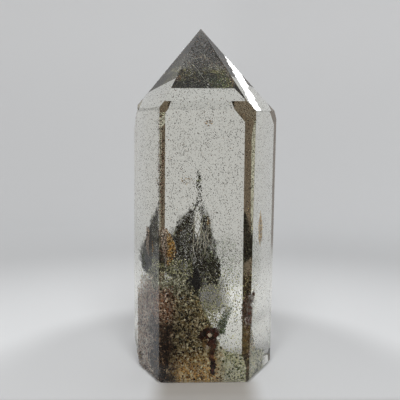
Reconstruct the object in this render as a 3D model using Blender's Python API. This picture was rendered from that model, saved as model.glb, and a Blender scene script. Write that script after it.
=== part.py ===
"""A polished six-sided point of garden quartz, standing on its ground base.

The clear crystal is one solid. A landscape of other minerals grew inside it, and the flat cut
at the base runs through that landscape, so the hollow that holds it opens downwards. Each
mineral of the landscape is a solid of its own that fills its share of the hollow.

The frame: +Z up, the widest face looks along -Y, and the origin is the middle of the base.
Lengths below are in millimetres and angles in degrees.
"""

import math

import bmesh
import bpy
from mathutils import Matrix, Vector, noise

MM = 0.001

# The crystal's driving sizes
HEIGHT = 85.0
HALF_DEPTH = 12.8
SIDE_REACH = 15.3
POINT_SLOPE = 54.0
BASE_CHAMFER = 0.8
EDGE_POLISH = 0.15
APEX_OFFSET = (-0.4, -0.2)

# Hand grinding left each face a little off the regular figure. Each row holds its name, the
# direction it faces, extra reach, lean outwards to the top, turn of its point face, extra slope
FACES = (
    ("front", -89.0, 0.0, 0.1, 0.0, 3.0),
    ("front_right", -28.4, 0.15, 1.1, -4.7, -2.5),
    ("back_right", 29.1, -0.05, 0.6, 0.9, 0.0),
    ("back", 89.8, 0.0, 0.2, 0.0, 1.7),
    ("back_left", 150.0, 0.0, -0.3, 0.0, 0.0),
    ("front_left", 208.8, -0.05, -0.3, 3.5, 0.7),
)

# Small extra facets where a corner was bruised and ground again. Each row holds what it is,
# a point on the facet, the direction it faces, and how far it leans back from upright
BRUISES = (
    ("left shoulder", (-16.7, 0.0, 63.0), 186.0, 9.0),
    ("left foot, steep", (-17.1, 0.1, 5.0), 184.0, -12.0),
    ("left foot, low", (-16.2, 0.0, 0.5), 186.0, -48.0),
    ("front left foot", (-10.2, -12.9, 2.6), 245.0, -17.0),
    ("right foot", (17.3, -0.2, 0.7), 2.0, -46.0),
)

# Shell-shaped breaks and one natural pit: centre, half sizes, and how rough the wall is
PITS = (
    ("edge_pit", (11.5, -12.9, 16.6), (1.5, 1.2, 4.3), 0.55),
    ("edge_pit_head", (12.5, -11.7, 20.3), (1.4, 1.1, 1.5), 0.4),
    ("foot_break", (-15.9, -3.2, 3.0), (0.9, 0.8, 1.3), 0.35),
    ("foot_nick", (-14.4, -5.9, 1.0), (0.7, 0.7, 0.8), 0.25),
)

PIT_GRAIN = 2.3

# The landscape inside: the gap round each mineral, the quartz wall outside the bed, and the bed
CLEARANCE = 0.3
WALL = 1.6
BED_TOP = 24.2
BED_LOW = 2.6
BED_SLOPE_START = -5.5
BED_SLOPE_END = 8.2
BED_RIGHT_END = 10.2
BED_BACK_END = 7.6
BED_BACK_FALL = 0.35
BED_CELL = 1.15
BED_LUMP = 1.5
BED_GRAIN = 0.28

# Points round each slice of a lumpy column
RING_POINTS = 26

# Slices of the green mountain from its tip down to its root: height, centre x and y, half sizes
MOUNTAIN = (
    (48.2, -1.2, 4.0, 0.25, 0.25),
    (46.2, -1.1, 3.9, 0.55, 0.55),
    (44.2, -0.9, 3.8, 0.95, 0.85),
    (42.2, -1.0, 3.8, 1.7, 1.2),
    (39.8, -1.3, 3.9, 3.0, 1.6),
    (37.0, -2.0, 4.0, 4.5, 2.1),
    (34.2, -2.6, 4.0, 5.6, 2.4),
    (31.4, -3.6, 4.0, 6.8, 2.7),
    (28.8, -4.3, 4.0, 7.8, 2.8),
    (26.4, -4.6, 4.0, 8.0, 2.7),
    (24.6, -4.8, 3.7, 6.8, 2.6),
    (23.2, -4.0, 2.6, 4.6, 2.6),
    (21.8, -2.8, 0.4, 3.0, 2.7),
    (20.2, -2.2, -1.4, 2.1, 2.3),
    (18.4, -2.2, -2.0, 1.7, 1.9),
    (16.0, -2.4, -2.0, 1.5, 1.6),
    (12.5, -2.4, -2.0, 1.0, 1.1),
)

# Slices of the orange iron stain on the mountain's left foot
ORANGE_PATCH = (
    (35.6, -9.5, 1.3, 0.4, 0.35),
    (34.0, -9.1, 1.1, 1.1, 0.8),
    (31.8, -8.6, 0.9, 1.6, 1.1),
    (29.4, -8.3, 0.9, 1.5, 1.1),
    (27.4, -8.6, 1.1, 0.9, 0.7),
    (26.0, -8.8, 1.3, 0.4, 0.4),
)

# Slices of the green drift that rises to the right out of the bed
GREEN_DRIFT = (
    (19.6, 8.7, -1.6, 0.4, 0.5),
    (17.2, 7.4, -1.8, 0.8, 0.9),
    (14.6, 5.9, -2.1, 1.1, 1.1),
    (12.0, 4.8, -2.4, 1.3, 1.2),
    (9.4, 4.0, -2.7, 1.4, 1.2),
    (6.8, 3.6, -2.9, 1.2, 1.1),
    (4.6, 3.3, -3.0, 0.7, 0.7),
)

# Blocky iron-oxide crystals: centre, half sizes, turn
IRON_BLOCKS = (
    ((1.6, -7.6, 10.8), (1.35, 0.95, 1.1), (12, 24, 35)),
    ((0.1, -7.3, 10.5), (1.05, 0.8, 0.75), (40, 10, 62)),
    ((2.6, -7.4, 10.9), (0.8, 0.8, 1.0), (18, 55, 15)),
    ((2.1, -7.5, 9.0), (0.75, 0.75, 1.1), (28, 8, 44)),
    ((1.1, -7.4, 8.2), (0.65, 0.6, 0.9), (15, 42, 70)),
    ((2.3, -7.3, 6.4), (0.5, 0.5, 2.0), (8, 10, 12)),
    ((2.4, -7.2, 2.9), (0.45, 0.5, 2.1), (4, 6, 50)),
)

# Colour, roughness, metallic value and share of light let through
LOOKS = {
    "clear_quartz": ((0.86, 0.87, 0.83), 0.04, 0.0, 1.0),
    "green_chlorite": ((0.075, 0.095, 0.06), 0.75, 0.0, 0.0),
    "iron_stained_bed": ((0.24, 0.15, 0.075), 0.85, 0.0, 0.0),
    "orange_limonite": ((0.55, 0.30, 0.09), 0.8, 0.0, 0.0),
    "iron_oxide": ((0.10, 0.035, 0.025), 0.35, 0.3, 0.0),
}
QUARTZ_IOR = 1.544


def clear_the_scene():
    for obj in list(bpy.data.objects):
        bpy.data.objects.remove(obj, do_unlink=True)


def material(name):
    colour, roughness, metallic, clear = LOOKS[name]
    made = bpy.data.materials.new(name)
    made.use_nodes = True
    shader = made.node_tree.nodes["Principled BSDF"]
    shader.inputs["Base Color"].default_value = (*colour, 1.0)
    shader.inputs["Roughness"].default_value = roughness
    shader.inputs["Metallic"].default_value = metallic
    shader.inputs["Transmission Weight"].default_value = clear
    shader.inputs["IOR"].default_value = QUARTZ_IOR
    return made


def add_object(name, bm, finish=None):
    """Turns a bmesh in millimetres into a named object in metres."""
    bmesh.ops.recalc_face_normals(bm, faces=bm.faces)
    mesh = bpy.data.meshes.new(name)
    bmesh.ops.scale(bm, vec=(MM, MM, MM), verts=bm.verts)
    bm.to_mesh(mesh)
    bm.free()
    obj = bpy.data.objects.new(name, mesh)
    bpy.context.scene.collection.objects.link(obj)
    if finish:
        mesh.materials.append(finish)
    return obj


def as_helper(obj):
    """A helper shapes other solids and isn't a piece itself."""
    obj.hide_render = True
    obj.display_type = "WIRE"
    return obj


def facing(azimuth, lean):
    """The outward normal of a face: lean 0 is upright, 90 faces straight up."""
    a, t = math.radians(azimuth), math.radians(lean)
    return Vector((math.cos(a) * math.cos(t), math.sin(a) * math.cos(t), math.sin(t)))


def grind(bm, point, normal):
    """Takes off all that lies outside a plane and closes the new facet, as a lap does."""
    everything = bm.verts[:] + bm.edges[:] + bm.faces[:]
    cut = bmesh.ops.bisect_plane(
        bm, geom=everything, plane_co=point, plane_no=normal, clear_outer=True, dist=0.0005
    )
    rim = [g for g in cut["geom_cut"] if isinstance(g, bmesh.types.BMEdge)]
    if rim:
        bmesh.ops.contextual_create(bm, geom=rim)


def reach_of(name, extra):
    return (HALF_DEPTH if name in ("front", "back") else SIDE_REACH) + extra


def ground_point():
    """The blank: six upright faces, six faces meeting at the tip, a chamfered foot and bruises."""
    bm = bmesh.new()
    half_blank = Vector((1.6 * SIDE_REACH, 1.6 * SIDE_REACH, 0.6 * HEIGHT))
    place = Matrix.LocRotScale(Vector((0, 0, half_blank.z)), None, 2 * half_blank)
    bmesh.ops.create_cube(bm, size=1, matrix=place)
    tip = Vector((*APEX_OFFSET, HEIGHT))
    for name, azimuth, extra, lean, turn, steeper in FACES:
        foot = facing(azimuth, 0) * reach_of(name, extra)
        grind(bm, foot, facing(azimuth, -lean))
        grind(bm, tip, facing(azimuth + turn, 90 - POINT_SLOPE - steeper))
        grind(bm, foot - facing(azimuth, 0) * BASE_CHAMFER, facing(azimuth, -45))
    for _, point, azimuth, lean in BRUISES:
        grind(bm, Vector(point), facing(azimuth, lean))
    return bm


def pit_cutter(name, centre, half_sizes, roughness):
    """A lumpy ball whose part inside the crystal becomes a pit or a shell-shaped break."""
    bm = bmesh.new()
    bmesh.ops.create_icosphere(bm, subdivisions=3, radius=1.0)
    for vert in bm.verts:
        swell = 1 + roughness * noise.noise(vert.co * PIT_GRAIN + Vector(centre))
        vert.co = Vector(centre) + Vector(half_sizes) * vert.co * swell
    return as_helper(add_object(name, bm))


def lumpy_column(slices, lump, grain):
    """A closed body through oval slices, with lumps that follow a smooth noise."""
    bm = bmesh.new()
    rings = []
    for height, x, y, half_x, half_y in slices:
        ring = []
        for i in range(RING_POINTS):
            turn = 2 * math.pi * i / RING_POINTS
            place = Vector((x + half_x * math.cos(turn), y + half_y * math.sin(turn), height))
            out = Vector((math.cos(turn), math.sin(turn), 0.35))
            bulge = lump * min(half_x, half_y) * noise.noise(place * grain)
            ring.append(bm.verts.new(place + out * bulge))
        rings.append(ring)
    for upper, lower in zip(rings, rings[1:]):
        for i in range(RING_POINTS):
            j = (i + 1) % RING_POINTS
            bm.faces.new((upper[i], upper[j], lower[j], lower[i]))
    bm.faces.new(rings[0])
    bm.faces.new(rings[-1])
    bmesh.ops.triangulate(bm, faces=bm.faces)
    return bm


def bed_height(x, y):
    """The bed reaches the mountain's foot at the left, and thins out to a layer at the right."""
    share = (x - BED_SLOPE_START) / (BED_SLOPE_END - BED_SLOPE_START)
    share = min(1.0, max(0.0, share))
    fall = share * share * (3 - 2 * share)
    back_fall = BED_BACK_FALL * max(0.0, y)
    lumps = BED_LUMP * noise.fractal(Vector((x, y, BED_LOW)) * BED_GRAIN, 0.9, 2.1, 3)
    return max(BED_LOW, BED_TOP + (BED_LOW - BED_TOP) * fall - back_fall) + lumps


def bed_block():
    """A block with the bed's rough top, ground to the crystal's own outline less its wall."""
    bm = bmesh.new()
    low_x, high_x = -SIDE_REACH - 3, BED_RIGHT_END
    low_y, high_y = -HALF_DEPTH, BED_BACK_END
    across = round((high_x - low_x) / BED_CELL)
    along = round((high_y - low_y) / BED_CELL)
    spots = [
        (low_x + (high_x - low_x) * i / across, low_y + (high_y - low_y) * j / along)
        for j in range(along + 1)
        for i in range(across + 1)
    ]
    top = [bm.verts.new((x, y, bed_height(x, y))) for x, y in spots]
    bottom = [bm.verts.new((x, y, 0.0)) for x, y in spots]
    step = across + 1
    for j in range(along):
        for i in range(across):
            a = j * step + i
            bm.faces.new((top[a], top[a + 1], top[a + step + 1], top[a + step]))
            bm.faces.new((bottom[a], bottom[a + step], bottom[a + step + 1], bottom[a + 1]))
    border = [*range(across), *[j * step + across for j in range(along)]]
    border += [along * step + i for i in range(across, 0, -1)]
    border += [j * step for j in range(along, 0, -1)]
    for a, b in zip(border, border[1:] + border[:1]):
        bm.faces.new((top[a], bottom[a], bottom[b], top[b]))
    for name, azimuth, extra, lean, _, _ in FACES:
        foot = facing(azimuth, 0) * (reach_of(name, extra) - WALL)
        grind(bm, foot, facing(azimuth, -lean))
    grind(bm, Vector((-SIDE_REACH + 0.9, 0, 0)), facing(185, -6))
    bmesh.ops.dissolve_limit(bm, angle_limit=math.radians(1), verts=bm.verts, edges=bm.edges)
    bmesh.ops.triangulate(bm, faces=bm.faces)
    return bm


def iron_block(name, centre, half_sizes, turn):
    """One blocky crystal of the iron-oxide cluster, a cube with its corners cut."""
    bm = bmesh.new()
    bmesh.ops.create_cube(bm, size=2)
    bmesh.ops.bevel(
        bm, geom=bm.verts[:] + bm.edges[:], offset=0.35, segments=1, affect="VERTICES"
    )
    stand = Matrix.LocRotScale(Vector(centre), None, None)
    angles = [math.radians(a) for a in turn]
    for axis, angle in zip("XYZ", angles):
        stand = stand @ Matrix.Rotation(angle, 4, axis)
    bmesh.ops.transform(bm, matrix=stand @ Matrix.Diagonal((*half_sizes, 1)), verts=bm.verts)
    return add_object(name, bm)


def cut(obj, cutter, operation="DIFFERENCE"):
    made = obj.modifiers.new(f"{operation.lower()}_{cutter.name}", "BOOLEAN")
    made.operation = operation
    made.object = cutter
    made.solver = "EXACT"


def bake(obj):
    """Applies the modifiers, so that a grown copy can be made of the finished form."""
    graph = bpy.context.evaluated_depsgraph_get()
    obj.data = bpy.data.meshes.new_from_object(obj.evaluated_get(graph))
    obj.modifiers.clear()


def grown_copy(obj):
    """The same form, CLEARANCE larger all round: the hollow that a piece sits in."""
    bm = bmesh.new()
    bm.from_mesh(obj.data)
    bmesh.ops.scale(bm, vec=(1 / MM,) * 3, verts=bm.verts)
    bmesh.ops.remove_doubles(bm, verts=bm.verts, dist=0.01)
    bm.normal_update()
    moves = [v.normal * min(v.calc_shell_factor(), 2.0) * CLEARANCE for v in bm.verts]
    for vert, move in zip(bm.verts, moves):
        vert.co += move
    return as_helper(add_object(obj.name + "_hollow", bm))


def iron_cluster(name, grown=0.0):
    """The blocky crystals, fused where they grew through each other."""
    blocks = []
    for i, (centre, half_sizes, turn) in enumerate(IRON_BLOCKS):
        larger = Vector(half_sizes) + Vector((grown, grown, grown))
        blocks.append(iron_block(f"{name}_block_{i}", centre, larger, turn))
    cluster = blocks[0]
    cluster.name = name
    for block in blocks[1:]:
        cut(cluster, as_helper(block), "UNION")
    bake(cluster)
    return cluster


def centre_over_base(objects, piece):
    """Moves everything so that the origin is the middle of the piece's outline, at its foot."""
    bpy.context.view_layer.update()
    graph = bpy.context.evaluated_depsgraph_get()
    corners = [Vector(c) for c in piece.evaluated_get(graph).bound_box]
    low_x, high_x = min(c.x for c in corners), max(c.x for c in corners)
    low_y, high_y = min(c.y for c in corners), max(c.y for c in corners)
    shift = Matrix.Translation((-(low_x + high_x) / 2, -(low_y + high_y) / 2, 0))
    for obj in objects:
        obj.data.transform(shift)


def main():
    clear_the_scene()
    looks = {name: material(name) for name in LOOKS}

    crystal = add_object("quartz_point", ground_point(), looks["clear_quartz"])
    polish = crystal.modifiers.new("edge_polish", "BEVEL")
    polish.width = EDGE_POLISH * MM
    polish.segments = 1
    polish.limit_method = "ANGLE"
    polish.angle_limit = math.radians(20)

    cluster = iron_cluster("iron_oxide_cluster")
    cluster.data.materials.append(looks["iron_oxide"])
    cluster_hollow = as_helper(iron_cluster("iron_oxide_cluster_hollow", CLEARANCE))
    mountain = add_object(
        "chlorite_mountain", lumpy_column(MOUNTAIN, 0.55, 0.45), looks["green_chlorite"]
    )
    patch = add_object(
        "limonite_patch", lumpy_column(ORANGE_PATCH, 0.6, 0.7), looks["orange_limonite"]
    )
    drift = add_object("chlorite_drift", lumpy_column(GREEN_DRIFT, 0.5, 0.6), looks["green_chlorite"])
    bed = add_object("iron_stained_bed", bed_block(), looks["iron_stained_bed"])

    minerals = (cluster, mountain, drift, patch, bed)
    hollows = [cluster_hollow] + [grown_copy(piece) for piece in minerals[1:]]
    for first, piece in enumerate(minerals):
        for hollow in hollows[:first]:
            cut(piece, hollow)
    for pit in PITS:
        cut(crystal, pit_cutter(*pit))
    for hollow in hollows:
        cut(crystal, hollow)
    centre_over_base(list(bpy.data.objects), crystal)


main()
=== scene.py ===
# %% [markdown]
# # A garden quartz point
#
# The object is one clear quartz crystal, ground to a six-sided prism with a six-sided point. Other
# minerals grew inside it: a dark green mountain of chlorite, a rusty bed at the foot, a blocky
# iron-oxide cluster, an orange stain and a green drift. The solids of all of these come from the
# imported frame. This script gives them their looks.
#
# The frame is loaded first, because every later size and place is read from it or set against it.

import math

import bmesh
import bpy
from mathutils import Matrix, Vector, noise
from mathutils.bvhtree import BVHTree


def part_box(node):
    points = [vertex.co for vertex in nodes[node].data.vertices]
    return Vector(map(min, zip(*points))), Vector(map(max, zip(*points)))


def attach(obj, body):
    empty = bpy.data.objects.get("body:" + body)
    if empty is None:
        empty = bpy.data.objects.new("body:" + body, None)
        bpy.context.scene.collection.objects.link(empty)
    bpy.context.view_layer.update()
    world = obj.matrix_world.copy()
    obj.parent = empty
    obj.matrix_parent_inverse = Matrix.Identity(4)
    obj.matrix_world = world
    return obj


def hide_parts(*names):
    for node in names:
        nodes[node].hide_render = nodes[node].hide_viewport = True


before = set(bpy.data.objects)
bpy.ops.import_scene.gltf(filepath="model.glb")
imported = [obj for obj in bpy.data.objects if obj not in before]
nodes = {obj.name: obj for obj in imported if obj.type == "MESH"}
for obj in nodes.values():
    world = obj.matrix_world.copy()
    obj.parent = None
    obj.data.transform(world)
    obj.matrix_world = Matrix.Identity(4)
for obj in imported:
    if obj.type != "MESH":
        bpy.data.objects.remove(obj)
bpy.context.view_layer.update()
MM = 0.001
low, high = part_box("quartz_point")
print("solids:", sorted(nodes))
print("crystal, mm:", [round(c / MM, 1) for c in high - low])

# %% [markdown]
# ## The camera
#
# A crystal is mostly what its facets show of the room, so the view has to be exact. The camera's
# place was worked out from the corners of the facets: it is close, about one and a half heights
# away, which is why the sides lean towards each other.

# %% Camera
CAMERA_PLACE = (-1.96, -126.28, 49.51)
CAMERA_DOWN = 3.284
CAMERA_TO_RIGHT = 0.374
SENSOR = 36.0
LENS = 44.74


def linked(name, data):
    """An object in the scene that shows the given data."""
    obj = bpy.data.objects.new(name, data)
    bpy.context.scene.collection.objects.link(obj)
    return obj


camera_data = bpy.data.cameras.new("camera")
camera_data.sensor_width = SENSOR
camera_data.lens = LENS
camera_data.clip_start = 0.005
camera_data.clip_end = 10.0
camera = linked("camera", camera_data)
camera.location = Vector(CAMERA_PLACE) * MM
camera.rotation_euler = (math.radians(90 - CAMERA_DOWN), 0, math.radians(-CAMERA_TO_RIGHT))
bpy.context.scene.camera = camera
print("camera is", round((camera.location - (low + high) / 2).length / MM), "mm from the middle")

# %% [markdown]
# ## Shader maths as Python
#
# A node tree for a mineral is a small formula: how far up, how far left, how patchy. Written node
# by node it takes pages. `Wire` holds one output socket and turns `+`, `-`, `*` and `/` into the
# matching nodes, and `Graph.add` makes any other node from its type, its settings and its inputs.
# The same two classes build the geometry trees further down.

# %% Wire and Graph
def operator(operation, swapped=False):
    """A method of Wire that adds the node for an operation on it and another value."""
    def calculate(self, other):
        first, second = (other, self) if swapped else (self, other)
        vector = any(isinstance(s, Wire) and s.socket.type == "VECTOR" for s in (first, second))
        kind = "ShaderNodeVectorMath" if vector else "ShaderNodeMath"
        return self.graph.add(kind, {"operation": operation}, {0: first, 1: second})

    return calculate


class Wire:
    """One output socket. Arithmetic on it adds Math nodes, or Vector Math nodes for vectors."""

    def __init__(self, graph, socket):
        self.graph = graph
        self.socket = socket

    __add__ = operator("ADD")
    __radd__ = operator("ADD", swapped=True)
    __sub__ = operator("SUBTRACT")
    __rsub__ = operator("SUBTRACT", swapped=True)
    __mul__ = operator("MULTIPLY")
    __rmul__ = operator("MULTIPLY", swapped=True)
    __truediv__ = operator("DIVIDE")
    __rtruediv__ = operator("DIVIDE", swapped=True)
    __pow__ = operator("POWER")
    __gt__ = operator("GREATER_THAN")
    __lt__ = operator("LESS_THAN")

    def __abs__(self):
        return self.graph.add("ShaderNodeMath", {"operation": "ABSOLUTE"}, {0: self})

    def length(self):
        return self.graph.add("ShaderNodeVectorMath", {"operation": "LENGTH"}, {0: self}, "Value")

    def dot(self, other):
        settings = {"operation": "DOT_PRODUCT"}
        return self.graph.add("ShaderNodeVectorMath", settings, {0: self, 1: other}, "Value")

    def steps(self, start, end, to_start=0.0, to_end=1.0):
        """A smooth change from to_start to to_end while this value goes from start to end."""
        settings = {"interpolation_type": "SMOOTHSTEP"}
        sockets = {0: self, 1: start, 2: end, 3: to_start, 4: to_end}
        return self.graph.add("ShaderNodeMapRange", settings, sockets)

    def sibling(self, name):
        """Another output of the same node."""
        return Wire(self.graph, self.socket.node.outputs[name])


class Graph:
    """A node tree with one method that makes every kind of node."""

    def __init__(self, tree):
        self.tree = tree

    def feed(self, socket, value):
        """Links a wire to an input, or sets the input to a value."""
        if isinstance(value, Wire):
            self.tree.links.new(value.socket, socket)
        else:
            socket.default_value = value

    def add(self, kind, settings=None, sockets=None, out=0):
        node = self.tree.nodes.new(kind)
        for name, value in (settings or {}).items():
            if name == "stops":
                self._set_stops(node.color_ramp, value)
            else:
                setattr(node, name, value)
        for key, value in (sockets or {}).items():
            self.feed(node.inputs[key], value)
        return Wire(self, node.outputs[out])

    def _set_stops(self, ramp, stops):
        while len(ramp.elements) < len(stops):
            ramp.elements.new(1.0)
        for element, (position, *colour) in zip(ramp.elements, stops):
            element.position = position
            element.color = (*colour, 1.0)

    def mix(self, factor, first, second):
        """A colour between two colours."""
        first, second = (c if isinstance(c, Wire) else (*c, 1.0) for c in (first, second))
        return self.add("ShaderNodeMix", {"data_type": "RGBA"}, {0: factor, 6: first, 7: second}, 2)

    def ramp(self, stops, factor):
        """A colour ramp. Each stop is its position, then its red, green and blue."""
        return self.add("ShaderNodeValToRGB", {"stops": stops}, {0: factor}, "Color")

    def attribute(self, name):
        return self.add("ShaderNodeAttribute", {"attribute_name": name}, None, "Fac")

    def part(self, wire, axis):
        return self.add("ShaderNodeSeparateXYZ", None, {0: wire}, "XYZ".index(axis))

    def place_mm(self):
        """The point on the object, in millimetres."""
        point = self.add("ShaderNodeTexCoord", None, None, "Object")
        return point * (1 / MM, 1 / MM, 1 / MM)

    def grain(self, place, size_mm, detail=3.0, rough=0.6):
        """Patches of about size_mm, from 0 to 1."""
        sockets = {"Vector": place, "Scale": 1 / size_mm, "Detail": detail, "Roughness": rough}
        return self.add("ShaderNodeTexNoise", None, sockets)

    def bump(self, height, strength, distance_mm, **more):
        sockets = {"Height": height, "Strength": strength, "Distance": distance_mm * MM, **more}
        return self.add("ShaderNodeBump", None, sockets)


def finish_named(name):
    """A new material, with its graph and its Principled shader."""
    material = bpy.data.materials.new(name)
    material.use_nodes = True
    return material, Graph(material.node_tree), material.node_tree.nodes["Principled BSDF"]


def plug(graph, shader, **sockets):
    """Sets or links sockets of a shader: underscores stand for the blanks in their names."""
    for name, value in sockets.items():
        graph.feed(shader.inputs[name.replace("_", " ")], value)


print("wires and graphs are ready")

# %% [markdown]
# ## Clear quartz
#
# Quartz bends light a little more than window glass: its index of refraction is 1.544. The facets
# are polished, so they are nearly mirror-smooth, with the faint ripple of a hand-held lap. Broken
# skin in the pit and the chips is frosted and holds a little rust. The ground base is satin. The
# slight grey-green of thick quartz is absorption inside the body, which is why it deepens where
# the path through the crystal is long.

# %% Quartz material
QUARTZ_IOR = 1.544
BODY_TINT = (0.82, 0.79, 0.54, 1.0)
BODY_DENSITY = 12.0
RUST = (0.07, 0.03, 0.018)


def quartz_finish():
    material, g, shader = finish_named("clear_quartz")
    place = g.place_mm()
    broken = g.attribute("broken")
    base = 1.0 - g.part(place, "Z").steps(0.0, 0.3)
    ripple = g.bump(g.grain(place, 7.0, 2.0), 0.02, 0.4)
    nicks = g.grain(place, 0.25, 2.0)
    rough_skin = g.bump(nicks, broken * 0.5 + base * 0.05, 0.2, Normal=ripple)
    plug(
        g, shader,
        Base_Color=(0.995, 0.995, 0.99, 1.0),
        Roughness=0.008 + broken * 0.3 + base * 0.07,
        IOR=QUARTZ_IOR,
        Transmission_Weight=1.0,
        Normal=rough_skin,
    )
    rust = g.add(
        "ShaderNodeBsdfPrincipled", None,
        {"Base Color": (*RUST, 1.0), "Roughness": 0.7, "Normal": rough_skin},
    )
    stained = broken * g.grain(place, 0.6).steps(0.46, 0.56)
    both = g.add("ShaderNodeMixShader", None, {0: stained, 1: Wire(g, shader.outputs[0]), 2: rust})
    body = g.add(
        "ShaderNodeVolumeAbsorption", None, {"Color": BODY_TINT, "Density": BODY_DENSITY}
    )
    plug(g, material.node_tree.nodes["Material Output"], Surface=both, Volume=body)
    return material


quartz = quartz_finish()
print("quartz bends light by", QUARTZ_IOR)

# %% [markdown]
# ## The crystal's skin
#
# In the frame the crystal has a hollow that its minerals sit in. In the real one the quartz grew
# tight round them, and there is no gap. So the visible crystal is the outer skin of the frame's
# solid, with the hollow left out and the base closed. A copy of the solid has its loose
# triangles merged. Once the base face is gone, the hollow's skin isn't joined to the outer skin,
# so what doesn't hang together with the tip is left out.

# %% Crystal skin helpers
SAME_POINT = 0.002 * MM
AT_FOOT = 0.01 * MM


def bmesh_of(mesh):
    bm = bmesh.new()
    bm.from_mesh(mesh)
    return bm


def mesh_of(name, bm):
    """A mesh with what a bmesh holds. The bmesh is freed."""
    mesh = bpy.data.meshes.new(name)
    bm.to_mesh(mesh)
    bm.free()
    return mesh


def to_object(name, bm, finish):
    mesh = mesh_of(name, bm)
    mesh.materials.append(finish)
    return linked(name, mesh)


def merged_copy(node):
    """A bmesh of a frame solid, its loose triangles joined."""
    bm = bmesh_of(nodes[node].data)
    bmesh.ops.remove_doubles(bm, verts=bm.verts, dist=SAME_POINT)
    return bm


def hanging_together(face):
    """All faces of the surface that a face is part of."""
    surface = {face}
    todo = [face]
    while todo:
        for edge in todo.pop().edges:
            new = set(edge.link_faces) - surface
            surface |= new
            todo.extend(new)
    return surface


# %% [markdown]
# The breaks are the only skin that isn't flat. A face counts as broken where its normal is none
# of the ground planes' normals, and those are the normals that cover the most skin.

# %% Crystal
SMALLEST_FACET = 0.8e-6
SAME_PLANE = 0.99995
BREAK_CUTS = 2
BREAK_ROUGHNESS = 0.09
BREAK_GRAIN = 2600


def ground_normals(bm):
    """The normals of all planes that cover at least a small facet."""
    planes = []
    for face in bm.faces:
        for plane in planes:
            if plane[0].dot(face.normal) > SAME_PLANE:
                plane[1] += face.calc_area()
                break
        else:
            planes.append([face.normal.copy(), face.calc_area()])
    return [normal for normal, area in planes if area > SMALLEST_FACET]


def is_flat(face, planes):
    return any(face.normal.dot(normal) > SAME_PLANE for normal in planes)


def crystal_skin():
    bm = merged_copy("quartz_point")
    base = [f for f in bm.faces if f.normal.z < -0.99 and f.calc_center_median().z < AT_FOOT]
    bmesh.ops.delete(bm, geom=base, context="FACES")
    outer = hanging_together(max(bm.faces, key=lambda f: f.calc_center_median().z))
    hollow = [f for f in bm.faces if f not in outer]
    bmesh.ops.delete(bm, geom=hollow, context="FACES")
    bmesh.ops.holes_fill(bm, edges=[e for e in bm.edges if e.is_boundary])
    bmesh.ops.recalc_face_normals(bm, faces=bm.faces)
    bmesh.ops.dissolve_limit(bm, angle_limit=math.radians(0.2), verts=bm.verts, edges=bm.edges)
    return bm, len(hollow)


def roughen_breaks(bm):
    """Cuts the broken skin finer, gives it a shell-like roughness and marks it for the finish."""
    planes = ground_normals(bm)
    broken = {f for f in bm.faces if not is_flat(f, planes)}
    edges = [e for e in bm.edges if all(f in broken for f in e.link_faces)]
    bmesh.ops.subdivide_edges(bm, edges=edges, cuts=BREAK_CUTS, use_grid_fill=True)
    bmesh.ops.triangulate(bm, faces=[f for f in bm.faces if len(f.verts) > 4])
    mark = bm.verts.layers.float.new("broken")
    rough = [v for v in bm.verts if not any(is_flat(f, planes) for f in v.link_faces)]
    for vert in rough:
        vert[mark] = 1.0
        push = noise.noise(vert.co * BREAK_GRAIN) * BREAK_ROUGHNESS * MM
        vert.co += vert.normal * push
    return len(rough)


skin, left_out = crystal_skin()
print("faces of the hollow left out:", left_out)
print("points of broken skin:", roughen_breaks(skin))
bmesh.ops.recalc_face_normals(skin, faces=skin.faces)
print("open edges:", sum(1 for e in skin.edges if len(e.link_faces) != 2))
crystal = to_object("crystal", skin, quartz)

# %% [markdown]
# ## Grains that fill a form
#
# Every mineral in the garden is a crowd of grains far smaller than a millimetre. Modelling each
# by hand is hopeless, and a bumpy solid looks like clay. So one geometry tree drops points at
# random in the box round a form, keeps those that lie inside it, thins them by a patchy noise,
# and sets a squashed, turned grain on each. A six-faced grain is enough at this size. A number
# called tint is stored on every grain, so that one material can give each its own shade.

# %% The tree of grains
CHANCE = 0.25
RAGGED = 1.2
FEW_LARGE = 2.5
GRAIN_WIDTH = 0.8
FULL_TURN = (math.tau, math.tau, math.tau)
LOOK_OUT = ((0.13, 0.21, 1.0), (0.9, -0.4, -0.17))

# Each input of the tree: its kind of socket, its unit and its standard value
GRAIN_INPUTS = {
    "count": ("Int", 1, 0),
    "smallest": ("Float", MM, 0.1),
    "largest": ("Float", MM, 0.3),
    "flatness": ("Float", 1, 0.6),
    "skin": ("Float", MM, 0.0),
    "reach": ("Float", MM, 100.0),
    "patch": ("Float", MM, 2.0),
    "stretch": ("Float", 1, 1.0),
    "bareness": ("Float", 1, 0.0),
    "thin_start": ("Vector", MM, (0, 0, 0)),
    "thin_end": ("Vector", MM, (0, 0, 1)),
    "thinning": ("Float", 1, 0.0),
    "open_centre": ("Vector", MM, (0, 0, -50)),
    "open_size": ("Vector", MM, (1, 1, 1)),
    "only_there": ("Float", 1, 0.0),
    "seed": ("Int", 1, 1),
    "finish": ("Material", 1, None),
}


def random_value(g, seed, low_end=0.0, high_end=1.0, kind="FLOAT"):
    node = g.tree.nodes.new("FunctionNodeRandomValue")
    node.data_type = kind
    values = {"Min": low_end, "Max": high_end, "Seed": seed}
    for socket in [s for s in node.inputs if s.enabled and s.name in values]:
        g.feed(socket, values[socket.name])
    return Wire(g, next(s for s in node.outputs if s.enabled))


def is_inside(g, form):
    """1 for a point inside: the first skin met in two directions is seen from within."""
    inside = 1.0
    for way in LOOK_OUT:
        sockets = {"Target Geometry": form, "Ray Direction": way, "Ray Length": 1.0}
        normal = g.add("GeometryNodeRaycast", None, sockets, "Hit Normal")
        inside = inside * (normal.dot(way) > 0.0) * normal.sibling("Is Hit")
    return inside


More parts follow.
